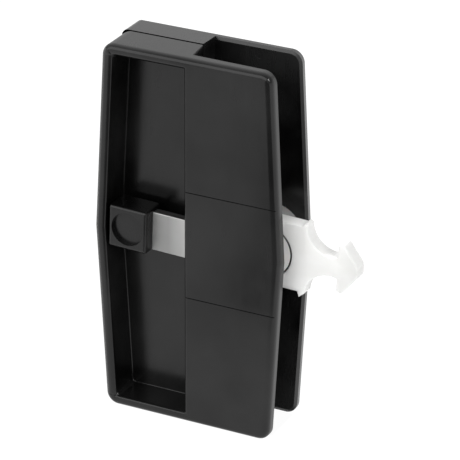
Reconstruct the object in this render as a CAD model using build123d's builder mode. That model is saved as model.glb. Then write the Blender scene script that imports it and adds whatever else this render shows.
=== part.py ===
from build123d import *
from math import cos, radians, sin, tan
import os

# Latch and pull for a sliding screen door, in millimetres.
# X points across the door to the jamb, Y from the room side outwards and Z up.
# The origin lies where the door stile seats: on its centre plane, at mid-height.

# Body, shared by both housings
height = 120.0
width_middle = 62.4
width_end = 55.8
corner_radius = 4.0
rear_corner_radius = 2.2
depth = 22.0
front_depth = 12.4

# Channel for the stile
channel_gap = 16.1
front_flange = 3.7
front_flange_edge = 3.0
rear_flange = depth - front_flange - channel_gap
seat_front = 0.4
seat_seam = -0.6
seat_rear_seam = -0.8
seat_rear = -0.5

# Finger pockets, one in each housing
rim_width = 3.95
rim_end = 3.5
divider_edge = -0.6
divider_foot = -2.2
pocket_depth = 10.4
rear_pocket_depth = 8.0
pocket_corner = 1.2

# Edges
front_round = 1.5
pocket_round = 0.9
rear_round = 0.5
seam_gap = 0.8
seam_inset = 1.0
lead_in_width = 1.0
lead_in_depth = 0.35

# Lever
pivot_x = 22.7
tilt = 2.0
swing = 12.0
plate_front = 7.8
plate_thickness = 4.9
plate_half = 10.8
arm_front = 4.0
arm_thickness = 3.0
arm_height = 12.5
arm_drop = 1.0
arm_end = 47.5
shoulder_round = 2.5

# Bend between arm and plate, as distances from the pivot on the back and on the front
bend_back_start = 17.5
bend_back_end = 14.0
bend_front_start = 12.4
bend_front_end = 9.8

# Hub that the lever turns on, its wider foot and the peg in it
hub_radius = 8.45
hub_clearance = 0.08
hub_chamfer = 0.22
foot_x = 19.2
foot_radius = 10.25
peg_radius = 2.5
peg_clearance = 0.05
peg_end = 5.0
front_boss_radius = 4.8
side_gap = 0.2
window_gap = 0.3
stop_gap = 0.1

# Hook at the lever's right end, measured from the pivot
neck_half = 3.1
cove_radius = 8.4
cove_x = 21.5
cove_lead = 0.4
barb_x = 23.5
barb_half = 7.7
barb_width = 1.9
barb_undercut = 0.3
barb_round = 0.8
nose_x = 30.0
nose_half = 1.7
nose_round = 1.2
upper_tooth = 11.6
upper_tooth_x = 12.1
lower_tooth = 12.6
lower_tooth_x = 11.4
tooth_foot = 0.6

# Thumb button
button_x = -42.6
button_drop = 0.5
button_width = 13.1
button_height = 13.9
button_depth = 8.3
button_round = 0.9
dimple_radius = 5.4
dimple_depth = 1.5
socket_clearance = 0.05

# Screws that clamp the stile
screw_x = 12.0
screw_spacing = 76.2
post_radius = 4.0
post_gap = 0.5
screw_radius = 1.75
screw_clearance = 0.03
flange_hole_radius = 2.1
screw_length = 16.0
screw_tip = 2.5
screw_hole_depth = 14.5
head_radius = 3.5
head_height = 2.3
head_side = 0.8
head_curve = 2.2
head_flat = 2.1
recess_half = 1.9
recess_width = 0.9
recess_depth = 1.4

# Marks left by the mould
witness_z = 17.4
witness_width = 0.22
witness_depth = 0.12
witness_margin = 1.2
ejector_x = 14.0
ejector_z = 57.0
ejector_radius = 1.4
ejector_depth = 0.12

# Depths along Y, worked out from the sizes above
front_y = -(front_flange + channel_gap / 2)
seam_y = front_y + front_depth
rear_y = front_y + depth
rear_inner_y = rear_y - rear_flange
plate_y = front_y + plate_front
plate_back_y = plate_y + plate_thickness
half_height = height / 2
past = 5.0


def near(value, target, reach=0.01):
    return abs(value - target) < reach


def facing_front(y):
    """Plane seen from the room side, with X to the right and Z up."""
    return Plane.XZ.offset(-y)


def lever_plane(y):
    """The lever's own plane: its x runs along the lever and its origin is the pivot."""
    turn = radians(tilt)
    return Plane(origin=(pivot_x, y, 0), x_dir=(cos(turn), 0, -sin(turn)), z_dir=(0, -1, 0))


def body_outline(closed_corner):
    """Six-sided face of the body, widest at mid-height. The closed side has corners of its own."""
    with BuildSketch(Plane.XY) as outline:
        with BuildLine():
            Polyline(
                (-width_middle / 2, 0),
                (-width_end / 2, half_height),
                (width_end / 2, half_height),
                (width_middle / 2, 0),
                (width_end / 2, -half_height),
                (-width_end / 2, -half_height),
                close=True,
            )
        make_face()
        corners = outline.vertices().filter_by(lambda v: near(abs(v.Y), half_height))
        fillet(corners.filter_by(lambda v: v.X < 0), closed_corner)
        corners = outline.vertices().filter_by(lambda v: near(v.X, width_end / 2))
        fillet(corners, corner_radius)
    return outline.sketch


def seam_ring(closed_corner):
    """Band just inside the body's outline, where the housings step back from their seam."""
    with BuildSketch(Plane.XY) as ring:
        add(body_outline(closed_corner))
        offset(amount=-seam_inset, kind=Kind.INTERSECTION, mode=Mode.SUBTRACT)
    return ring.sketch


def pocket_outline():
    """Pocket face beside the divider. Its left side runs parallel to the body's side."""
    slope = (width_middle - width_end) / 2 / half_height
    top = half_height - rim_end
    side = width_middle / 2 - rim_width
    with BuildSketch(Plane.XY) as outline:
        with BuildLine():
            Polyline(
                (-side, 0),
                (-side + slope * top, top),
                (divider_edge, top),
                (divider_edge, -top),
                (-side + slope * top, -top),
                close=True,
            )
        make_face()
        fillet(outline.vertices().filter_by(lambda v: v.X < divider_edge - 1 and abs(v.Y) > 1), pocket_corner)
    return outline.sketch


def pocket_tool(mouth_y, floor_y):
    """Solid of a finger pocket. Its divider wall leans, to keep the wall beside the channel even."""
    inwards = floor_y - mouth_y
    with BuildPart() as tool:
        with BuildSketch(facing_front(mouth_y)):
            add(pocket_outline())
        extrude(amount=-inwards)
        with BuildSketch(Plane.XY.offset(-half_height)):
            with BuildLine():
                Polyline(
                    (divider_edge, mouth_y - inwards),
                    (divider_edge, mouth_y),
                    (divider_foot, floor_y),
                    (divider_foot, floor_y + inwards),
                    (divider_edge + past, floor_y + inwards),
                    (divider_edge + past, mouth_y - inwards),
                    close=True,
                )
            make_face()
        extrude(amount=height, mode=Mode.SUBTRACT)
    return tool.part


front_pocket = pocket_tool(front_y, front_y + pocket_depth)
rear_pocket = pocket_tool(rear_y, rear_y - rear_pocket_depth)

# Inside housing: pocket block, front flange, screw posts and the boss before the lever
with BuildPart() as inside_housing:
    with BuildSketch(facing_front(seam_y)):
        add(body_outline(corner_radius))
    extrude(amount=front_depth)
    with BuildSketch(Plane.XY.offset(-half_height)):
        with BuildLine():
            Polyline(
                (seat_front, front_y + front_flange),
                (width_middle / 2, front_y + front_flange_edge),
                (width_middle / 2 + past, front_y + front_flange_edge),
                (width_middle / 2 + past, seam_y + past),
                (seat_seam, seam_y + past),
                (seat_seam, seam_y),
                close=True,
            )
        make_face()
    extrude(amount=height, mode=Mode.SUBTRACT)
    front_rim = inside_housing.faces().sort_by(Axis.Y)[0].edges()
    fillet(front_rim, front_round)
    # Its half of the groove at the seam
    with BuildSketch(facing_front(seam_y)):
        add(seam_ring(corner_radius))
    extrude(amount=seam_gap / 2, mode=Mode.SUBTRACT)
    add(front_pocket, mode=Mode.SUBTRACT)
    mouth = inside_housing.edges().filter_by(lambda e: near(e.center().Y, front_y))
    mouth = mouth.filter_by(lambda e: e.center().X < 0 and abs(e.center().Z) < half_height - rim_end + 0.1)
    mouth = mouth.filter_by(lambda e: e.center().X > -width_end / 2 + 1)
    fillet(mouth, pocket_round)
    # Window in the divider, as tall as the arm's swing: its ends stop the lever
    arm_rise = (pivot_x - divider_foot) * tan(radians(swing))
    window_top = arm_rise + (arm_height / 2 - arm_drop) / cos(radians(swing)) + stop_gap
    window_bottom = -arm_rise - (arm_height / 2 + arm_drop) / cos(radians(swing)) - stop_gap
    with BuildSketch(facing_front(front_y + arm_front + arm_thickness + window_gap)):
        with Locations((divider_foot - 1, (window_top + window_bottom) / 2)):
            Rectangle(
                seat_front - divider_foot + 2,
                window_top - window_bottom,
                align=(Align.MIN, Align.CENTER),
            )
    extrude(amount=arm_thickness + 2 * window_gap, mode=Mode.SUBTRACT)
    # Posts for the two clamping screws
    post_length = rear_inner_y - post_gap - (front_y + front_flange_edge)
    with BuildSketch(facing_front(rear_inner_y - post_gap)):
        with Locations((screw_x, screw_spacing / 2), (screw_x, -screw_spacing / 2)):
            Circle(post_radius)
    extrude(amount=post_length)
    with BuildSketch(facing_front(rear_inner_y - post_gap)):
        with Locations((screw_x, screw_spacing / 2), (screw_x, -screw_spacing / 2)):
            Circle(screw_radius + screw_clearance)
    extrude(amount=screw_hole_depth, mode=Mode.SUBTRACT)
    # Boss that keeps the hub off the flange, with a socket for the peg
    with BuildSketch(facing_front(plate_y - side_gap)):
        with Locations((pivot_x, 0)):
            Circle(front_boss_radius)
            Circle(peg_radius + peg_clearance, mode=Mode.SUBTRACT)
    extrude(amount=plate_front - side_gap - front_flange_edge)
    # Fine lines where an insert met the mould, across the plain half of the face
    with BuildSketch(facing_front(front_y + witness_depth)):
        with Locations((width_middle / 4, witness_z), (width_middle / 4, -witness_z)):
            Rectangle(width_middle / 2 - witness_margin, witness_width)
    extrude(amount=witness_depth + 1, mode=Mode.SUBTRACT)
inside_housing.part.label = "inside_housing"

# Outside housing: pull pocket, thin flange and the peg for the hub
with BuildPart() as outside_housing:
    with BuildSketch(facing_front(rear_y)):
        add(body_outline(rear_corner_radius))
    extrude(amount=depth - front_depth)
    with BuildSketch(Plane.XY.offset(-half_height)):
        with BuildLine():
            Polyline(
                (seat_rear_seam, seam_y - past),
                (seat_rear_seam, seam_y),
                (seat_rear, rear_inner_y),
                (width_middle / 2 + past, rear_inner_y),
                (width_middle / 2 + past, seam_y - past),
                close=True,
            )
        make_face()
    extrude(amount=height, mode=Mode.SUBTRACT)
    fillet(outside_housing.faces().sort_by(Axis.Y)[-1].edges(), rear_round)
    # Bevel that leads the stile in, along the open sides of the flange
    inner_faces = outside_housing.faces().filter_by(lambda f: near(f.center().Y, rear_inner_y))
    inner_face = inner_faces.sort_by(SortBy.AREA)[-1]
    open_sides = inner_face.edges().filter_by(lambda e: e.center().X > width_end / 2 and e.length > corner_radius)
    chamfer(open_sides, lead_in_width, lead_in_depth, reference=inner_face)
    with BuildSketch(facing_front(seam_y)):
        add(seam_ring(rear_corner_radius))
    extrude(amount=-seam_gap / 2, mode=Mode.SUBTRACT)
    add(rear_pocket, mode=Mode.SUBTRACT)
    with BuildSketch(facing_front(rear_inner_y)):
        with Locations((pivot_x, 0)):
            Circle(peg_radius)
    extrude(amount=rear_inner_y - front_y - peg_end)
    with BuildSketch(facing_front(rear_y)):
        with Locations((screw_x, screw_spacing / 2), (screw_x, -screw_spacing / 2)):
            Circle(flange_hole_radius)
    extrude(amount=rear_flange, mode=Mode.SUBTRACT)
    # Round marks of the ejector pins on the flange's inner face
    with BuildSketch(facing_front(rear_inner_y + ejector_depth)):
        with Locations((ejector_x, ejector_z), (ejector_x, -ejector_z)):
            Circle(ejector_radius)
    extrude(amount=ejector_depth, mode=Mode.SUBTRACT)
outside_housing.part.label = "outside_housing"


def lever_outline():
    """Lever seen from the room side: arm, round-ended plate and the double-barbed hook."""
    arm_top = arm_height / 2 - arm_drop
    arm_bottom = -arm_height / 2 - arm_drop
    cove_z = neck_half + cove_radius
    with BuildSketch(Plane.XY) as outline:
        with BuildLine():
            Polyline(
                (0, plate_half),
                (upper_tooth_x - tooth_foot, plate_half),
                (upper_tooth_x, upper_tooth),
                (cove_x - cove_radius, cove_z - cove_lead),
            )
            RadiusArc((cove_x - cove_radius, cove_z - cove_lead), (cove_x, neck_half), -cove_radius)
            Polyline(
                (cove_x, neck_half),
                (barb_x, neck_half + barb_undercut),
                (barb_x, barb_half),
                (barb_x + barb_width, barb_half),
                (nose_x, nose_half),
                (nose_x, -nose_half),
                (barb_x + barb_width, -barb_half),
                (barb_x, -barb_half),
                (barb_x, -neck_half - barb_undercut),
                (cove_x, -neck_half),
            )
            RadiusArc((cove_x, -neck_half), (cove_x - cove_radius, -cove_z + cove_lead), -cove_radius)
            Polyline(
                (cove_x - cove_radius, -cove_z + cove_lead),
                (lower_tooth_x, -lower_tooth),
                (lower_tooth_x - tooth_foot, -plate_half),
                (0, -plate_half),
            )
            RadiusArc((0, -plate_half), (0, plate_half), plate_half)
        make_face()
        with BuildLine():
            Polyline(
                (-arm_end, arm_bottom),
                (-arm_end, arm_top),
                (0, arm_top),
                (0, arm_bottom),
                close=True,
            )
        make_face()
        tips = outline.vertices().filter_by(lambda v: v.X > cove_x and near(abs(v.Y), barb_half))
        fillet(tips, barb_round)
        fillet(outline.vertices().filter_by(lambda v: near(v.X, nose_x)), nose_round)
        shoulders = outline.vertices().filter_by(lambda v: -bend_back_start < v.X < -1)
        fillet(shoulders, shoulder_round)
    return outline.sketch


# Lever: the outline cut to a cranked side profile, with a round hole for the hub
with BuildPart() as latch_lever:
    with BuildSketch(lever_plane(plate_back_y)):
        add(lever_outline())
    extrude(amount=plate_back_y - front_y - arm_front)
    turn = radians(tilt)
    crank = Plane(origin=(pivot_x, front_y, 0), x_dir=(cos(turn), 0, -sin(turn)), z_dir=(sin(turn), 0, cos(turn)))
    with BuildSketch(crank.offset(-height / 2)):
        with BuildLine():
            Polyline(
                (-arm_end - past, arm_front + arm_thickness),
                (-bend_back_start, arm_front + arm_thickness),
                (-bend_back_end, plate_front + plate_thickness),
                (-bend_back_end, plate_front + plate_thickness + past),
                (-arm_end - past, plate_front + plate_thickness + past),
                close=True,
            )
        make_face()
        with BuildLine():
            Polyline(
                (-bend_front_start, arm_front - past),
                (-bend_front_start, arm_front),
                (-bend_front_end, plate_front),
                (nose_x + past, plate_front),
                (nose_x + past, arm_front - past),
                close=True,
            )
        make_face()
    extrude(amount=height, mode=Mode.SUBTRACT)
    with BuildSketch(lever_plane(plate_back_y)):
        Circle(hub_radius + hub_clearance)
    extrude(amount=plate_thickness, mode=Mode.SUBTRACT)
    hole_edges = latch_lever.edges().filter_by(GeomType.CIRCLE)
    hole_edges = hole_edges.filter_by(lambda e: near(e.radius, hub_radius + hub_clearance))
    chamfer(hole_edges, hub_chamfer)
latch_lever.part.label = "latch_lever"

# Hub: the disc that the lever turns on, with a wider foot that keeps the lever off the flange
with BuildPart() as pivot_hub:
    with BuildSketch(facing_front(rear_inner_y)):
        with Locations((foot_x, 0)):
            Circle(foot_radius)
    extrude(amount=rear_inner_y - plate_back_y - side_gap)
    with BuildSketch(facing_front(plate_back_y + side_gap)):
        with Locations((pivot_x, 0)):
            Circle(hub_radius)
    extrude(amount=plate_thickness + side_gap)
    chamfer(pivot_hub.faces().sort_by(Axis.Y)[0].edges(), hub_chamfer)
    with BuildSketch(facing_front(rear_inner_y)):
        with Locations((pivot_x, 0)):
            Circle(peg_radius + peg_clearance)
    extrude(amount=rear_inner_y - plate_y, mode=Mode.SUBTRACT)
pivot_hub.part.label = "pivot_hub"

# Thumb button: a block with a round dimple, pushed onto the arm's end
with BuildPart() as thumb_button:
    with BuildSketch(lever_plane(front_y + button_depth)):
        with Locations((button_x, -button_drop)):
            Rectangle(button_width, button_height)
    extrude(amount=button_depth)
    fillet(thumb_button.edges().filter_by(Axis.Y), button_round)
    fillet(thumb_button.faces().sort_by(Axis.Y)[0].edges(), button_round)
    with BuildSketch(lever_plane(front_y)):
        with Locations((button_x, -button_drop)):
            Circle(dimple_radius)
    extrude(amount=-dimple_depth, mode=Mode.SUBTRACT)
    with BuildSketch(lever_plane(front_y + arm_front + arm_thickness + socket_clearance)):
        with Locations((-arm_end - socket_clearance, -arm_drop)):
            Rectangle(
                button_width,
                arm_height + 2 * socket_clearance,
                align=(Align.MIN, Align.CENTER),
            )
    extrude(amount=arm_thickness + 2 * socket_clearance, mode=Mode.SUBTRACT)
thumb_button.part.label = "thumb_button"


def clamp_screw(z, name):
    """Pan-head screw driven from outside, with a cross recess."""
    with BuildPart() as screw:
        with BuildSketch(Plane.XY.offset(z)):
            with BuildLine():
                tip_y = rear_y - screw_length
                Polyline(
                    (screw_x, tip_y),
                    (screw_x + screw_radius, tip_y + screw_tip),
                    (screw_x + screw_radius, rear_y),
                    (screw_x + head_radius, rear_y),
                    (screw_x + head_radius, rear_y + head_side),
                )
                RadiusArc(
                    (screw_x + head_radius, rear_y + head_side),
                    (screw_x + head_flat, rear_y + head_height),
                    -head_curve,
                )
                Polyline(
                    (screw_x + head_flat, rear_y + head_height),
                    (screw_x, rear_y + head_height),
                    (screw_x, tip_y),
                )
            make_face()
        revolve(axis=Axis((screw_x, 0, z), (0, 1, 0)))
        with BuildSketch(facing_front(rear_y + head_height)):
            with Locations((screw_x, z)):
                Rectangle(2 * recess_half, recess_width)
                Rectangle(recess_width, 2 * recess_half)
        extrude(amount=recess_depth, mode=Mode.SUBTRACT)
    screw.part.label = name
    return screw.part


upper_screw = clamp_screw(screw_spacing / 2, "upper_screw")
lower_screw = clamp_screw(-screw_spacing / 2, "lower_screw")

os.makedirs("parts", exist_ok=True)
export_step(inside_housing.part, "parts/inside_housing.step")
export_step(outside_housing.part, "parts/outside_housing.step")
export_step(latch_lever.part, "parts/latch_lever.step")
export_step(pivot_hub.part, "parts/pivot_hub.step")
export_step(thumb_button.part, "parts/thumb_button.step")
export_step(upper_screw, "parts/upper_screw.step")
export_step(lower_screw, "parts/lower_screw.step")
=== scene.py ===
from math import cos, pi, radians, sin

import bmesh
import bpy
from mathutils import Matrix, Vector


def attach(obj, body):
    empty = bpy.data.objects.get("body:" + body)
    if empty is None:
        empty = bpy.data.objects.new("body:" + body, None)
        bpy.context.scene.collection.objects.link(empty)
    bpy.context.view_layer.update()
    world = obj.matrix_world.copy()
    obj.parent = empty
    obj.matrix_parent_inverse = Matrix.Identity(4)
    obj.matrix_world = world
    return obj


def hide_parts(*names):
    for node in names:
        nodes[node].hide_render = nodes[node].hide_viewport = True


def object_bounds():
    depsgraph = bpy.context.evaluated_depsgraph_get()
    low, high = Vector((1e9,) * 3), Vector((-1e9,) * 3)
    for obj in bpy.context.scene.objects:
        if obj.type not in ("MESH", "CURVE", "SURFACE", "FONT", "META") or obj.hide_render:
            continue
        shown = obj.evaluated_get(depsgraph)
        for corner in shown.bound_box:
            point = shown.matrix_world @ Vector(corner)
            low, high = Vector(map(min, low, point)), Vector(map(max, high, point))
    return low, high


MM = 0.001

# The photograph's view: a long lens, from the upper right
PHOTO_SIDE = 460
VIEW_AZIMUTH = radians(26.602)
VIEW_ELEVATION = radians(25.175)
VIEW_ROLL = radians(0.302)
VIEW_DISTANCE = 917.59 * MM
VIEW_TARGET = Vector((8.685, 0.26, 1.988)) * MM
FOCAL_PIXELS = 3056.6
SENSOR = 36.0

# Studio: a light table, dark cards that only reflections see, the one under the channel a painted shadow, a
# room and two soft boxes
TABLE_GLOW = 0.95
TABLE_SHADE = 0.12
TABLE_REACH = 3.0
MATT = 0.9
CARD_SHADE = 0.14
CARD_LIFT = 0.2 * MM
FRONT_CARD = ((-0.025, -0.09), (-0.28, -1.0), (1.2, -1.0), (0.16, -0.09))
# Painted shadow: a dark card under the channel, where the glowing table lies in the part's shade
CHANNEL_SHADOW_CARD = ((0.001, -0.0078), (0.0275, -0.0078), (0.0275, 0.0078), (0.001, 0.0078))
BRIGHT_SIDE = (-0.30, 0.90, 0.30)
ROOM_TURN = (-0.2, 0.9)
ROOM_DIM = 0.36
ROOM_BRIGHT = 1.05
KEY_SPOT = (0.78, -0.38, 0.50)
KEY_SIDE = 0.5
KEY_WATTS = 7.8
FILL_SPOT = (-0.38, -0.72, 0.57)
FILL_SIDE = 1.1
FILL_WATTS = 7.5

# Outline of the housings, six-sided and narrower towards both ends
HALF_HEIGHT = 60.0 * MM
HALF_WIDTH = 31.2 * MM
SIDE_SLOPE = 0.055

# Finger pockets
FRONT_POCKET_FLOOR = -1.35 * MM
REAR_POCKET_FLOOR = 2.25 * MM
POCKET_SIDE = 27.25 * MM
POCKET_END = 56.5 * MM
POCKET_FOOT = -2.2 * MM
POCKET_EDGE = -0.6 * MM
POCKET_CORNER = 1.2 * MM
CORNER_STEPS = 5
POCKET_FILLET = 0.32 * MM
FILLET_STEPS = 4
FILLET_SUNK = -0.04 * MM
TIGHTEST_MITRE = 0.5

# Soft rolls of the borders: how far each one reaches inwards, and how steep it is at the edge
EDGE_ROLL = 2.6 * MM
EDGE_STEEP = 0.58
LIP_ROLL = 2.0 * MM
LIP_STEEP = 0.55
DIVIDER_ROLL = 0.8 * MM
DIVIDER_STEEP = 0.5
CLIFF = 1000.0
BUTTON_ROLL = 1.4 * MM
BUTTON_STEEP = 0.45

# Seam between the housings and the two fine lines across the face, both given painted shade, and the
# flange's free edge, given a painted highlight
SEAM = 0.65 * MM
SEAM_HALF = 0.41 * MM
SEAM_SOFT = 0.03 * MM
FINE_LINE = 17.4 * MM
FINE_LINE_HALF = 0.12 * MM
FINE_LINE_SOFT = 0.04 * MM
FINE_LINE_STRENGTH = 0.8
FACE_FRONT = -11.5 * MM
FACE_SOFT = 0.08 * MM
FREE_EDGE = (20.0 * MM, 21.0 * MM)
FREE_FLANGE = (8.0 * MM, 8.1 * MM)
FREE_FACING = (0.15, 0.9)

# Lever, hub and button
PIVOT = 22.7 * MM
LEVER_TILT = radians(2.0)
LEVER_ROUND = 0.25 * MM
HUB_RING = 8.1 * MM
RING_SOFT = 0.03 * MM
HUB_FOOT = 1.1 * MM
FOOT_SOFT = 0.05 * MM
BUTTON_MIDDLE = (-19.89 * MM, 0.0, 0.99 * MM)
BUTTON_HALF = (6.55 * MM, 6.95 * MM)

# Screws
SCREWS = 2
SCREW_X = 12.0 * MM
SCREW_SPACING = 76.2 * MM
THREAD_START = -2.8 * MM
THREAD_PITCH = 1.2 * MM
THREAD_TURNS = 8.0
THREAD_STEPS = 20
THREAD_RADIUS = 1.72 * MM
THREAD_RIDGE = 0.26 * MM
RIDGE_SIDES = 4

# Rounding of a copied node
MERGE_REACH = 0.002 * MM
FLAT_TURN = radians(0.5)
ROUND_TURN = radians(50)
ROUND_STEPS = 3
SMOOTH_TURN = radians(32)

# Black plastic: shade, roughness and refraction of each moulding
INSIDE_BLACK = {"shade": 0.0045, "gloss": 0.22}
OUTSIDE_BLACK = {"shade": 0.007, "gloss": 0.25}
BUTTON_BLACK = {"shade": 0.005, "gloss": 0.26}
SOFT_SHINE = 1.41
FULL_SHINE = 1.52

# Black plastic: the marks that all its mouldings share, with the painted highlight and the painted shade of
# the seam and the fine lines
POLISH_PATCH = 22.0 * MM
POLISH_SHADES = (0.3, 1.7)
POLISH_CHANGE = 0.03
STREAK_WIDTH = 1.6 * MM
STREAK_STRETCH = (1, 1, 9)
STREAK_ROUGH = 0.05
WEAR_PATCH = 4.0 * MM
WEAR_REACH = 0.15 * MM
WEAR_STRENGTH = 0.4
WEAR_ROUGH = 0.12
WORN_BLACK = (0.045, 0.045, 0.046, 1)
PAINTED_EDGE_HIGHLIGHT = 0.09
GAP_PAINTED_SHADE = 0.001
GAP_ROUGH = 0.5
SINK_PATCH = 14.0 * MM
SINK_DEPTH = 0.03 * MM
GRAIN_SIZE = 0.35 * MM
GRAIN_DEPTH = 0.0012 * MM

# White nylon
NYLON_SHINE = 1.5
MILKY_LEVER = {"Subsurface_Weight": 0.5, "Subsurface_Radius": (1, 1, 1), "Subsurface_Scale": 1.5 * MM}
MILKY_HUB = {"Subsurface_Weight": 0.1, "Subsurface_Scale": 1.0 * MM}
FLOW_PATCH = 6.0 * MM
FLOW_STRETCH = (3, 1, 1)
FLOW_WAVE = 0.02 * MM
CLEAR_WHITE = (1, 1, 0.99, 1)
CREAMY_WHITE = (0.95, 0.95, 0.93, 1)
NYLON_GRAIN = 0.4 * MM
NYLON_GRAIN_DEPTH = 0.002 * MM
NYLON_WEAR = 0.35 * MM
NYLON_ROUGH = (0.36, 0.46)
NYLON_POLISH = 0.08

# Painted shade and light of the lever: along it, on its upper faces, and on its side faces to and away from
# the light
ARM_PAINTED_SHADE = 0.26
ARM_TO_PLATE = (-8.0 * MM, 6.0 * MM)
PLATE_PAINTED_SHADES = (0.78, 0.98)
PLATE_RISE = (-10.0 * MM, 8.0 * MM)
NECK_PAINTED_SHADE = 0.80
PLATE_TO_NECK = (27.0 * MM, 36.0 * MM)
TIP_PAINTED_SHADE = 0.67
NECK_TO_TIP = (46.0 * MM, 53.0 * MM)
LIT_SIDE_PAINTED_SHADE = 0.60
LIT_FACING = (0.1, 0.8)
LIT_LIFT = 0.15
UNLIT_SIDE_PAINTED_LIGHT = 1.0
UNLIT_FACING = (0.3, -0.1)
UNLIT_LIFT = (0.3, 0.7)
PLATE_TOP_PAINTED_SHADE = 0.66
PLATE_TOP_LIFT = (0.2, 0.8)
PLATE_TOP_REACH = (32.0 * MM, 27.0 * MM)
PLATE_TOP_STRENGTH = 0.8
ARM_TOP_PAINTED_SHADE = 0.02
ARM_TOP_LIFT = (0.8, 0.95)
ARM_TOP_REACH = (6.0 * MM, 0.0)

# Shades of the hub: its disc, and the painted shade of its ring and its foot
DISC_SHADE = 0.84
RING_PAINTED_SHADE = 0.008
FOOT_PAINTED_SHADE = 0.2

# Coated steel of the screws
COATING = (0.02, 0.02, 0.022, 1)
BARE_STEEL = (0.42, 0.41, 0.40, 1)
COAT_METAL = 0.35
BARE_METAL = 0.6
COAT_ROUGH = (0.28, 0.42)
COAT_PATCH = 0.9 * MM
COAT_DEPTH = 0.004 * MM
STEEL_WEAR = 0.25 * MM
STEEL_WEAR_PATCH = 1.5 * MM

# Noise runs about its middle: the stretches of it that the finishes use
WIDE_NOISE = (0.3, 0.7)
MID_NOISE = (0.35, 0.65)
UPPER_NOISE = (0.45, 0.65)
PEAK_NOISE = (0.45, 0.75)
FLOW_NOISE = (0.35, 0.7)
STEEL_NOISE = (0.42, 0.6)

# How far the rounded and the straight surface agree on an open face and on a sharp edge
OPEN_FACE = 0.995
SHARP_EDGE = 0.80
EDGE_SAMPLES = 6

# Colour sockets of a mix
MIX_MASK = 0
MIX_FIRST = 6
MIX_SECOND = 7
MIX_COLOUR = 2

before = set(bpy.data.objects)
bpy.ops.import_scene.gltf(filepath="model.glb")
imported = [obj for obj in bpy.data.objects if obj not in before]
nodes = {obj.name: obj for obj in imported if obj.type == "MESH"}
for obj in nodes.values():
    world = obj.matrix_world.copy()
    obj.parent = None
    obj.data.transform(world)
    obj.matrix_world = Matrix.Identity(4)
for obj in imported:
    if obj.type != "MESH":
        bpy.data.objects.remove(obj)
cad_low, cad_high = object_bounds()
scene = bpy.context.scene


class Value:
    """One output of a node, which adds up, multiplies and compares like a number."""

    def __init__(self, tree, socket):
        self.tree = tree
        self.socket = socket

    def maths(self, operation, first, second=0.0):
        return self.tree.node("ShaderNodeMath", {"operation": operation}, {0: first, 1: second})

    def __add__(self, other):
        return self.maths("ADD", self, other)

    __radd__ = __add__

    def __sub__(self, other):
        return self.maths("SUBTRACT", self, other)

    def __rsub__(self, other):
        return self.maths("SUBTRACT", other, self)

    def __mul__(self, other):
        return self.maths("MULTIPLY", self, other)

    __rmul__ = __mul__

    def __abs__(self):
        return self.maths("ABSOLUTE", self)

    def least(self, other):
        return self.maths("MINIMUM", self, other)

    def most(self, other):
        return self.maths("MAXIMUM", self, other)


class Shading:
    """A tree of nodes."""

    def __init__(self, tree):
        self.tree = tree

    def node(self, kind, settings=None, inputs=None, output=0):
        """One node: its settings first, then the values or links of its sockets."""
        made = self.tree.nodes.new(kind)
        for setting, value in (settings or {}).items():
            setattr(made, setting, value)
        for socket, value in (inputs or {}).items():
            self.join(value, made.inputs[socket])
        return Value(self, made.outputs[output])

    def join(self, value, socket):
        """Links a value of the tree to a socket, or sets the socket to a plain number or colour."""
        if isinstance(value, Value):
            self.tree.links.new(value.socket, socket)
        else:
            socket.default_value = value

    def spread(self, value, low, high, to_low=0.0, to_high=1.0):
        """Values from low to high become to_low to to_high, and no further."""
        ends = {"From Min": low, "From Max": high, "To Min": to_low, "To Max": to_high}
        return self.node("ShaderNodeMapRange", {"clamp": True}, {"Value": value, **ends})

    def within(self, distance, half, soft):
        """1 up to half from a line, and 0 a soft width beyond."""
        return self.spread(distance, half + soft, half)

    def apart(self, vector):
        """The three parts of a vector."""
        return [self.node("ShaderNodeSeparateXYZ", None, {0: vector}, axis) for axis in "XYZ"]

    def across(self, operation, first, second):
        """Plain number that two vectors give."""
        return self.node("ShaderNodeVectorMath", {"operation": operation}, {0: first, 1: second}, "Value")


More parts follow.
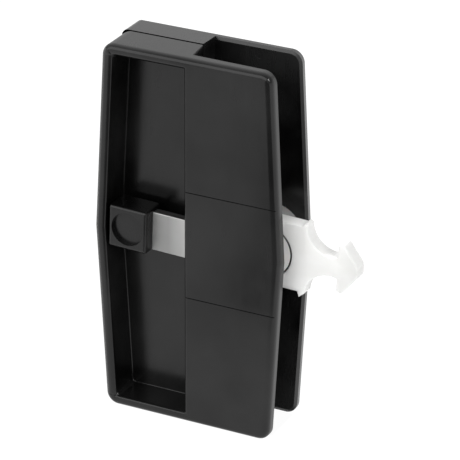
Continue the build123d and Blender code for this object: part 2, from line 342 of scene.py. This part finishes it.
class Finish(Shading):
    """A material. Constants sit on the shader; what varies is joined to it."""

    def __init__(self, name, **constants):
        self.material = bpy.data.materials.new(name)
        self.material.use_nodes = True
        super().__init__(self.material.node_tree)
        self.shader = self.tree.nodes["Principled BSDF"]
        for socket, value in constants.items():
            self.shader.inputs[socket.replace("_", " ")].default_value = value
        self.place = self.node("ShaderNodeTexCoord", output="Object")

    def feed(self, socket, value):
        self.join(value, self.shader.inputs[socket])

    def facing(self):
        """The three parts of the direction in which the surface faces."""
        return self.apart(self.node("ShaderNodeNewGeometry", output="True Normal"))

    def clouds(self, size, detail, stretch=(1, 1, 1)):
        """Noise whose patches are about size across. Stretch lengthens them along an axis."""
        scale = tuple(1 / s for s in stretch)
        stretched = {"Vector": self.place, "Scale": scale}
        spot = self.node("ShaderNodeMapping", {"vector_type": "POINT"}, stretched)
        return self.node("ShaderNodeTexNoise", None, {"Vector": spot, "Scale": 1 / size, "Detail": detail})

    def edges(self, radius):
        """1 on the sharp edges within radius, 0 on open faces."""
        rounded = self.node("ShaderNodeBevel", {"samples": EDGE_SAMPLES}, {"Radius": radius})
        straight = self.node("ShaderNodeNewGeometry", output="Normal")
        return self.spread(self.across("DOT_PRODUCT", rounded, straight), OPEN_FACE, SHARP_EDGE)

    def blend(self, mask, first, second):
        """Colour that turns from first to second with the mask."""
        return self.mix("MIX", mask, first, second)

    def mix(self, way, mask, first, second):
        colours = {MIX_MASK: mask, MIX_FIRST: first, MIX_SECOND: second}
        return self.node("ShaderNodeMix", {"data_type": "RGBA", "blend_type": way}, colours, MIX_COLOUR)

    def bump(self, height, distance, normal=None):
        """Relief of a height map, on top of another relief where one is given."""
        inputs = {"Height": height, "Distance": distance, "Strength": 1.0}
        if normal:
            inputs["Normal"] = normal
        return self.node("ShaderNodeBump", None, inputs)

    def roll(self, inward, reach, steep, normal=None):
        """Face that turns away softly over reach, and is steep at the edge that inward is measured from."""
        nearness = self.spread(inward, reach, 0.0)
        return self.bump(1 - nearness * nearness, steep * reach / 2, normal)


def grey(level):
    return (level, level, level, 1)


def moulded_black(finish, shade, gloss, shape=None, painted_highlight=0.0, lines=0.0):
    """Semi-gloss black from a steel mould: cloudy polish, faint sink, worn edges, a painted highlight where
    one is given, and painted shade without shine in the seam and the fine lines.
    """
    polish = finish.clouds(POLISH_PATCH, detail=3)
    streaks = finish.clouds(STREAK_WIDTH, detail=4, stretch=STREAK_STRETCH)
    grain = finish.clouds(GRAIN_SIZE, detail=2)
    patches = finish.clouds(WEAR_PATCH, detail=4)
    worn = finish.edges(WEAR_REACH) * finish.spread(patches, *UPPER_NOISE)
    darker, lighter = (grey(shade * change) for change in POLISH_SHADES)
    cloudy = finish.blend(finish.spread(polish, *MID_NOISE), darker, lighter)
    used = finish.blend(worn * WEAR_STRENGTH, cloudy, WORN_BLACK)
    # Painted highlight where one is given
    highlighted = finish.blend(painted_highlight, used, grey(PAINTED_EDGE_HIGHLIGHT))
    _, through, _ = finish.apart(finish.place)
    # Painted shade: the seam and the fine lines are made black and metallic, without shine
    seam_shade_mask = finish.within(abs(through - SEAM), SEAM_HALF, SEAM_SOFT).most(lines)
    finish.feed("Base Color", finish.blend(seam_shade_mask, highlighted, grey(GAP_PAINTED_SHADE)))
    finish.feed("Metallic", seam_shade_mask)
    even = finish.spread(polish, *WIDE_NOISE, gloss - POLISH_CHANGE, gloss + POLISH_CHANGE)
    streaky = even + finish.spread(streaks, *PEAK_NOISE, 0, STREAK_ROUGH)
    finish.feed("Roughness", streaky + worn * WEAR_ROUGH + seam_shade_mask * GAP_ROUGH)
    sink = finish.bump(finish.clouds(SINK_PATCH, detail=1), SINK_DEPTH, shape)
    finish.feed("Normal", finish.bump(grain, GRAIN_DEPTH, sink))
    return finish.material


def inside_black():
    """Black of the room side. Its face rolls over at the outline, the pocket's mouth and the divider."""
    finish = Finish("inside_black", IOR=SOFT_SHINE)
    across, through, upright = finish.apart(finish.place)
    narrowing = abs(upright) * SIDE_SLOPE
    inward = (HALF_WIDTH - narrowing - abs(across)).least(HALF_HEIGHT - upright)
    beside = narrowing - POCKET_SIDE - across
    beyond = abs(upright) - POCKET_END
    far_half = (across - POCKET_EDGE) * CLIFF
    lip = beside.most(beyond).most(far_half)
    divider = (across - POCKET_EDGE).most(beyond)
    outline = finish.roll(inward, EDGE_ROLL, EDGE_STEEP)
    mouth = finish.roll(lip, LIP_ROLL, LIP_STEEP, outline)
    soft = finish.roll(divider, DIVIDER_ROLL, DIVIDER_STEEP, mouth)
    # The two fine lines across the face get painted shade
    lines = finish.within(abs(abs(upright) - FINE_LINE), FINE_LINE_HALF, FINE_LINE_SOFT)
    in_front = finish.spread(through, FACE_FRONT, FACE_FRONT - FACE_SOFT)
    on_face = finish.spread(across, POCKET_EDGE, 0.0) * in_front
    return moulded_black(finish, **INSIDE_BLACK, shape=soft, lines=lines * on_face * FINE_LINE_STRENGTH)


def outside_black():
    """Black of the outer side, with a painted highlight at the flange's free edge."""
    finish = Finish("outside_black", IOR=FULL_SHINE)
    across, through, _ = finish.apart(finish.place)
    sideways, _, _ = finish.facing()
    free_edge = finish.spread(across, *FREE_EDGE) * finish.spread(through, *FREE_FLANGE)
    # Painted highlight on the flange's free edge
    painted_highlight = free_edge * finish.spread(sideways, *FREE_FACING)
    return moulded_black(finish, **OUTSIDE_BLACK, painted_highlight=painted_highlight)


def button_black():
    """Black of the thumb button, with a soft roll at its outline."""
    finish = Finish("button_black", IOR=SOFT_SHINE)
    turned = {"Vector": finish.place, "Location": BUTTON_MIDDLE, "Rotation": (0, LEVER_TILT, 0)}
    own_place = finish.node("ShaderNodeMapping", {"vector_type": "TEXTURE"}, turned)
    across, _, upright = finish.apart(own_place)
    inward = (BUTTON_HALF[0] - abs(across)).least(BUTTON_HALF[1] - abs(upright))
    return moulded_black(finish, **BUTTON_BLACK, shape=finish.roll(inward, BUTTON_ROLL, BUTTON_STEEP))


def nylon(finish, shade):
    """White nylon: satin, a little milky, with flow marks and softened edges."""
    flow = finish.clouds(FLOW_PATCH, detail=3, stretch=FLOW_STRETCH)
    grain = finish.clouds(NYLON_GRAIN, detail=2)
    worn = finish.edges(NYLON_WEAR)
    tone = finish.blend(finish.spread(flow, *FLOW_NOISE), CLEAR_WHITE, CREAMY_WHITE)
    finish.feed("Base Color", finish.mix("MULTIPLY", 1.0, tone, shade))
    finish.feed("Roughness", finish.spread(flow, *WIDE_NOISE, *NYLON_ROUGH) - worn * NYLON_POLISH)
    wave = finish.bump(flow, FLOW_WAVE)
    finish.feed("Normal", finish.bump(grain, NYLON_GRAIN_DEPTH, wave))
    return finish.material


def lever_white():
    """Nylon of the lever, with painted shade and light. They stand for light that thick nylon spreads, and
    for the shade of the dark pocket.
    """
    finish = Finish("lever_white", IOR=NYLON_SHINE, **MILKY_LEVER)
    across, _, upright = finish.apart(finish.place)
    sideways, _, upward = finish.facing()
    # Painted shade along the lever: grey in the dark pocket, darker low on the plate, and darker again at
    # the neck and the hook's tip
    plate = finish.blend(finish.spread(upright, *PLATE_RISE), *map(grey, PLATE_PAINTED_SHADES))
    in_pocket = finish.blend(finish.spread(across, *ARM_TO_PLATE), grey(ARM_PAINTED_SHADE), plate)
    neck = finish.blend(finish.spread(across, *PLATE_TO_NECK), in_pocket, grey(NECK_PAINTED_SHADE))
    free = finish.blend(finish.spread(across, *NECK_TO_TIP), neck, grey(TIP_PAINTED_SHADE))
    # Painted shade on side faces turned to the light, and painted light on side faces turned away from it
    to_light = finish.spread(sideways + upward * LIT_LIFT, *LIT_FACING)
    lit = finish.blend(to_light, free, grey(LIT_SIDE_PAINTED_SHADE))
    from_light = finish.spread(sideways, *UNLIT_FACING) * finish.spread(upward, *UNLIT_LIFT)
    even = finish.blend(from_light, lit, grey(UNLIT_SIDE_PAINTED_LIGHT))
    # Painted shade on the plate's upper face inside the channel
    plate_top = finish.spread(upward, *PLATE_TOP_LIFT) * finish.spread(across, *PLATE_TOP_REACH)
    topped = finish.blend(plate_top * PLATE_TOP_STRENGTH, even, grey(PLATE_TOP_PAINTED_SHADE))
    # Painted shade, near black, on the arm's upper face in the pocket
    arm_top = finish.spread(upward, *ARM_TOP_LIFT) * finish.spread(across, *ARM_TOP_REACH)
    return nylon(finish, finish.blend(arm_top, topped, grey(ARM_TOP_PAINTED_SHADE)))


def hub_white():
    """Nylon of the hub, with painted shade: grey at its foot, which lies in shade behind the lever's plate,
    and a thin dark ring round its disc for the shade in the gap.
    """
    finish = Finish("hub_white", IOR=NYLON_SHINE, **MILKY_HUB)
    across, through, upright = finish.apart(finish.place)
    # Painted shade: the foot is greyed, and a dark ring runs round the disc
    foot = finish.spread(through, HUB_FOOT - FOOT_SOFT, HUB_FOOT)
    centred = finish.node("ShaderNodeCombineXYZ", None, {"X": across - PIVOT, "Z": upright})
    radius = finish.across("LENGTH", centred, (0, 0, 0))
    ring = finish.spread(radius, HUB_RING, HUB_RING + RING_SOFT)
    disc = finish.blend(ring, grey(DISC_SHADE), grey(RING_PAINTED_SHADE))
    return nylon(finish, finish.blend(foot, disc, grey(FOOT_PAINTED_SHADE)))


def coated_steel():
    """Black-coated steel of the screws, with bare metal showing in spots along the edges."""
    finish = Finish("screw_black")
    patches = finish.clouds(STEEL_WEAR_PATCH, detail=4)
    worn = finish.edges(STEEL_WEAR) * finish.spread(patches, *STEEL_NOISE)
    patchy = finish.clouds(COAT_PATCH, detail=4)
    finish.feed("Base Color", finish.blend(worn, COATING, BARE_STEEL))
    finish.feed("Metallic", COAT_METAL + worn * BARE_METAL)
    finish.feed("Roughness", finish.spread(patchy, *WIDE_NOISE, *COAT_ROUGH))
    finish.feed("Normal", finish.bump(patchy, COAT_DEPTH))
    return finish.material


def dress(node, material):
    """Gives a node of the frame its finish."""
    mesh = nodes[node].data
    mesh.materials.clear()
    mesh.materials.append(material)


def smooth(mesh):
    """Smooth faces that stay crisp where they meet at a clear angle."""
    mesh.shade_smooth()
    mesh.set_sharp_from_angle(angle=SMOOTH_TURN)


def new_object(name, data):
    """New object of the scene, at the origin until it is placed."""
    made = bpy.data.objects.new(name, data)
    scene.collection.objects.link(made)
    return made


def plain_mesh(piece, material):
    """Turns what the modifiers make of a piece into its own mesh, and takes the modifiers off."""
    bpy.context.view_layer.update()
    evaluated = piece.evaluated_get(bpy.context.evaluated_depsgraph_get())
    mesh = bpy.data.meshes.new_from_object(evaluated)
    piece.modifiers.clear()
    piece.data = mesh
    mesh.materials.clear()
    mesh.materials.append(material)
    smooth(mesh)


def softened(name, node, width, material):
    """Copy of a node whose sharp edges are rounded off, as they leave the mould."""
    mesh = nodes[node].data.copy()
    shape = bmesh.new()
    shape.from_mesh(mesh)
    bmesh.ops.remove_doubles(shape, verts=shape.verts, dist=MERGE_REACH)
    bmesh.ops.dissolve_limit(shape, angle_limit=FLAT_TURN, verts=shape.verts, edges=shape.edges)
    shape.to_mesh(mesh)
    shape.free()
    piece = new_object(name, mesh)
    rounding = piece.modifiers.new("rounding", "BEVEL")
    rounding.width = width
    rounding.segments = ROUND_STEPS
    rounding.limit_method = "ANGLE"
    rounding.angle_limit = ROUND_TURN
    plain_mesh(piece, material)
    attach(piece, "lever")
    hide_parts(node)
    return piece


def rounded(corner, before, after, radius):
    """Points of a rounded corner between two neighbours."""
    first = (before - corner).normalized()
    second = (after - corner).normalized()
    half = first.angle(second) / 2
    middle = corner + (first + second).normalized() * radius / sin(half)
    start = corner + first * radius * cos(half) / sin(half) - middle
    end = corner + second * radius * cos(half) / sin(half) - middle
    step_turn = -start.angle_signed(end) / CORNER_STEPS
    return [middle + Matrix.Rotation(step_turn * step, 2) @ start for step in range(CORNER_STEPS + 1)]


def pocket_path():
    """Outline of a pocket's floor: its foot at the divider, and two rounded corners at the side."""
    side = POCKET_SIDE - SIDE_SLOPE * POCKET_END
    foot_low = Vector((POCKET_FOOT, -POCKET_END))
    foot_high = Vector((POCKET_FOOT, POCKET_END))
    high = Vector((-side, POCKET_END))
    middle = Vector((-POCKET_SIDE, 0))
    low = Vector((-side, -POCKET_END))
    path = [foot_low, foot_high]
    path += rounded(high, foot_high, middle, POCKET_CORNER)
    path.append(middle)
    path += rounded(low, middle, foot_low, POCKET_CORNER)
    return path


def fillet_profile():
    """Section of the fillet: how far each point is from the wall, and how high above the floor."""
    profile = [(FILLET_SUNK, FILLET_SUNK), (POCKET_FILLET, FILLET_SUNK)]
    for step in range(FILLET_STEPS + 1):
        turn = radians(270 - 90 * step / FILLET_STEPS)
        profile.append((POCKET_FILLET * (1 + cos(turn)), POCKET_FILLET * (1 + sin(turn))))
    profile.append((FILLET_SUNK, POCKET_FILLET))
    return profile


def pocket_fillet(name, floor, outwards, material):
    """Small hollow fillet where a pocket's walls meet its floor."""
    profile = fillet_profile()
    path = pocket_path()
    shape = bmesh.new()
    rings = []
    for index, here in enumerate(path):
        first = (here - path[index - 1]).normalized()
        second = (path[(index + 1) % len(path)] - here).normalized()
        bisector = (first + second).normalized()
        inwards = Vector((-bisector.y, bisector.x)) / max(bisector.dot(first), TIGHTEST_MITRE)
        ring = []
        for from_wall, lift in profile:
            spot = here + inwards * from_wall
            ring.append(shape.verts.new((spot.x, floor + outwards * lift, spot.y)))
        rings.append(ring)
    for index, ring in enumerate(rings):
        following = rings[(index + 1) % len(rings)]
        for place in range(len(profile)):
            beside = (place + 1) % len(profile)
            shape.faces.new((ring[place], ring[beside], following[beside], following[place]))
    bmesh.ops.recalc_face_normals(shape, faces=shape.faces)
    mesh = bpy.data.meshes.new(name)
    shape.to_mesh(mesh)
    shape.free()
    mesh.materials.append(material)
    smooth(mesh)
    piece = new_object(name, mesh)
    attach(piece, "housing")


def thread_tree():
    """Thread of a screw, repeated at each screw's place. Its sizes are the tree's inputs."""
    tree = bpy.data.node_groups.new("screw_thread", "GeometryNodeTree")
    kinds = dict.fromkeys(("Radius", "Pitch", "Turns", "Ridge", "Spacing"), "NodeSocketFloat")
    kinds["Start"] = "NodeSocketVector"
    kinds["Finish"] = "NodeSocketMaterial"
    inputs = {}
    for name, kind in kinds.items():
        inputs[name] = tree.interface.new_socket(name, in_out="INPUT", socket_type=kind).identifier
    tree.interface.new_socket("Geometry", in_out="OUTPUT", socket_type="NodeSocketGeometry")
    work = Shading(tree)
    given = tree.nodes.new("NodeGroupInput")
    size = {name: Value(work, given.outputs[name]) for name in kinds}
    spiral = work.node("GeometryNodeCurveSpiral", None, {
        "Resolution": THREAD_STEPS,
        "Rotations": size["Turns"],
        "Start Radius": size["Radius"],
        "End Radius": size["Radius"],
        "Height": size["Pitch"] * size["Turns"],
    })
    section = {"Resolution": RIDGE_SIDES, "Radius": size["Ridge"]}
    ridge = work.node("GeometryNodeCurvePrimitiveCircle", {"mode": "RADIUS"}, section)
    swept = {"Curve": spiral, "Profile Curve": ridge, "Fill Caps": True}
    thread = work.node("GeometryNodeCurveToMesh", None, swept)
    step = work.node("ShaderNodeCombineXYZ", None, {"Z": size["Spacing"]})
    row = {"Count": SCREWS, "Start Location": size["Start"], "Offset": step}
    places = work.node("GeometryNodeMeshLine", None, row)
    laid = {"Points": places, "Instance": thread, "Rotation": (-pi / 2, 0, 0)}
    copies = work.node("GeometryNodeInstanceOnPoints", None, laid)
    real = work.node("GeometryNodeRealizeInstances", None, {"Geometry": copies})
    made = work.node("GeometryNodeSetMaterial", None, {"Geometry": real, "Material": size["Finish"]})
    work.join(made, tree.nodes.new("NodeGroupOutput").inputs[0])
    return tree, inputs


def screw_threads(material):
    """Threads of both screws, which the posts hide."""
    tree, inputs = thread_tree()
    piece = new_object("screw_threads", bpy.data.meshes.new("screw_threads"))
    cutting = piece.modifiers.new("cutting", "NODES")
    cutting.node_group = tree
    sizes = {
        "Radius": THREAD_RADIUS,
        "Pitch": THREAD_PITCH,
        "Turns": THREAD_TURNS,
        "Ridge": THREAD_RIDGE,
        "Spacing": SCREW_SPACING,
        "Start": (SCREW_X, THREAD_START, -SCREW_SPACING / 2),
        "Finish": material,
    }
    for name, size in sizes.items():
        cutting[inputs[name]] = size
    plain_mesh(piece, material)
    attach(piece, "housing")


def place_camera():
    """Camera where the photographer's stood."""
    back = Vector((
        sin(VIEW_AZIMUTH) * cos(VIEW_ELEVATION),
        -cos(VIEW_AZIMUTH) * cos(VIEW_ELEVATION),
        sin(VIEW_ELEVATION),
    ))
    level = Vector((cos(VIEW_AZIMUTH), sin(VIEW_AZIMUTH), 0))
    upright = back.cross(level)
    right = cos(VIEW_ROLL) * level + sin(VIEW_ROLL) * upright
    up = cos(VIEW_ROLL) * upright - sin(VIEW_ROLL) * level
    data = bpy.data.cameras.new("camera")
    data.sensor_width = SENSOR
    data.lens = FOCAL_PIXELS * SENSOR / PHOTO_SIDE
    turned = Matrix((right, up, back)).transposed().to_4x4()
    camera = new_object("camera", data)
    camera.matrix_world = Matrix.Translation(VIEW_TARGET + back * VIEW_DISTANCE) @ turned
    scene.camera = camera


def soft_light(name, spot, side, watts):
    """Square soft box that faces the part."""
    data = bpy.data.lights.new(name, "AREA")
    data.size = side
    data.energy = watts
    light = new_object(name, data)
    light.location = spot
    light.rotation_euler = (Vector((0, 0, 0)) - Vector(spot)).to_track_quat("-Z", "Y").to_euler()


def flat_sheet(name, corners, height, finish):
    """Flat sheet of the studio, which isn't part of the object."""
    mesh = bpy.data.meshes.new(name)
    mesh.from_pydata([(x, y, height) for x, y in corners], [], [tuple(range(len(corners)))])
    mesh.materials.append(finish.material)
    sheet = new_object(name, mesh)
    return sheet


def light_table(ground):
    """Glowing table under the part, and the two dark cards that lie on it out of the camera's sight. The
    one under the channel is a painted shadow.
    """
    table = Finish("table_top", Base_Color=grey(TABLE_SHADE), Roughness=MATT, Emission_Strength=TABLE_GLOW)
    table.shader.inputs["Emission Color"].default_value = grey(1)
    reach = TABLE_REACH
    flat_sheet("table", ((-reach, -reach), (reach, -reach), (reach, reach), (-reach, reach)), ground, table)
    matt_card = Finish("card", Base_Color=grey(CARD_SHADE), Roughness=MATT)
    for name, corners in (("card", FRONT_CARD), ("channel_shadow_card", CHANNEL_SHADOW_CARD)):
        card = flat_sheet(name, corners, ground + CARD_LIFT, matt_card)
        card.visible_camera = False


def pale_room():
    """Room that is bright behind the part and dimmer before it."""
    room = bpy.data.worlds.new("room")
    room.use_nodes = True
    scene.world = room
    shading = Shading(room.node_tree)
    direction = shading.node("ShaderNodeTexCoord", output="Generated")
    towards_light = shading.across("DOT_PRODUCT", direction, BRIGHT_SIDE)
    background = room.node_tree.nodes["Background"]
    background.inputs["Color"].default_value = grey(1)
    strength = shading.spread(towards_light, *ROOM_TURN, ROOM_DIM, ROOM_BRIGHT)
    shading.join(strength, background.inputs["Strength"])


place_camera()
light_table(cad_low.z)
pale_room()
soft_light("key", KEY_SPOT, KEY_SIDE, KEY_WATTS)
soft_light("fill", FILL_SPOT, FILL_SIDE, FILL_WATTS)
scene.view_settings.view_transform = "Standard"

inside_finish = inside_black()
button_finish = button_black()
lever_finish = lever_white()
steel = coated_steel()
outside_finish = outside_black()
dress("inside_housing", inside_finish)
dress("outside_housing", outside_finish)
dress("thumb_button", button_finish)
dress("latch_lever", lever_finish)
dress("pivot_hub", hub_white())
dress("upper_screw", steel)
dress("lower_screw", steel)

softened("soft_lever", "latch_lever", LEVER_ROUND, lever_finish)
pocket_fillet("front_pocket_fillet", FRONT_POCKET_FLOOR, -1, inside_finish)
pocket_fillet("rear_pocket_fillet", REAR_POCKET_FLOOR, 1, outside_finish)
screw_threads(steel)
